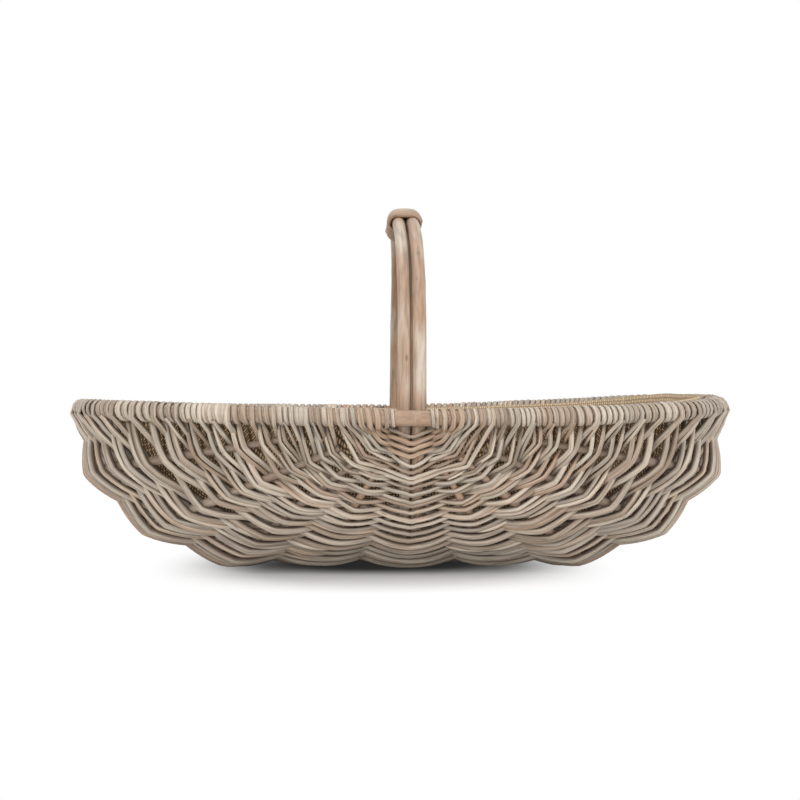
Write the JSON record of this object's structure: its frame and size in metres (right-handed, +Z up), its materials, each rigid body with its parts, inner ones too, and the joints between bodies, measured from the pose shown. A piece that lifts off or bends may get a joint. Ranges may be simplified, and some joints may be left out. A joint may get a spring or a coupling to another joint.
{
  "type": "garden trug",
  "caption": "Oval willow frame basket with a double rod handle across its width and a hessian liner, for cut flowers, vegetables and garden tools.",
  "frame": {"origin": "middle of the basket on the floor that it stands on", "axes": "+X along the basket to its right end, +Y across it to the back, +Z up; the handle spans the basket along Y"},
  "size_m": [0.65, 0.4484, 0.3551],
  "materials": {
    "willow_rod": "dry willow rod with its bark rubbed off and a thin grey wash",
    "willow_weaver": "peeled willow with a grey-brown wash, dull",
    "willow_skein": "split willow skein, satin on its bark side",
    "hessian": "loose plain-weave jute, matte",
    "hessian_hem": "folded and sewn jute hem, matte"
  },
  "bodies": {
    "root": {"rim_hoop": "willow_rod", "handle_hoop_left": "willow_rod", "handle_hoop_right": "willow_rod", "rib_left_1": "willow_rod", "rib_left_2": "willow_rod", "rib_left_3": "willow_rod", "rib_left_4": "willow_rod", "rib_right_1": "willow_rod", "rib_right_2": "willow_rod", "rib_right_3": "willow_rod", "rib_right_4": "willow_rod", "front_weaver_01": "willow_weaver", "front_weaver_02": "willow_weaver", "front_weaver_03": "willow_weaver", "front_weaver_04": "willow_weaver", "front_weaver_05": "willow_weaver", "front_weaver_06": "willow_weaver", "front_weaver_07": "willow_weaver", "front_weaver_08": "willow_weaver", "back_weaver_01": "willow_weaver", "back_weaver_02": "willow_weaver", "back_weaver_03": "willow_weaver", "back_weaver_04": "willow_weaver", "back_weaver_05": "willow_weaver", "back_weaver_06": "willow_weaver", "back_weaver_07": "willow_weaver", "back_weaver_08": "willow_weaver", "handle_binding": "willow_skein", "hessian_liner": "hessian", "liner_hem": "hessian_hem"}
  },
  "joints": []
}
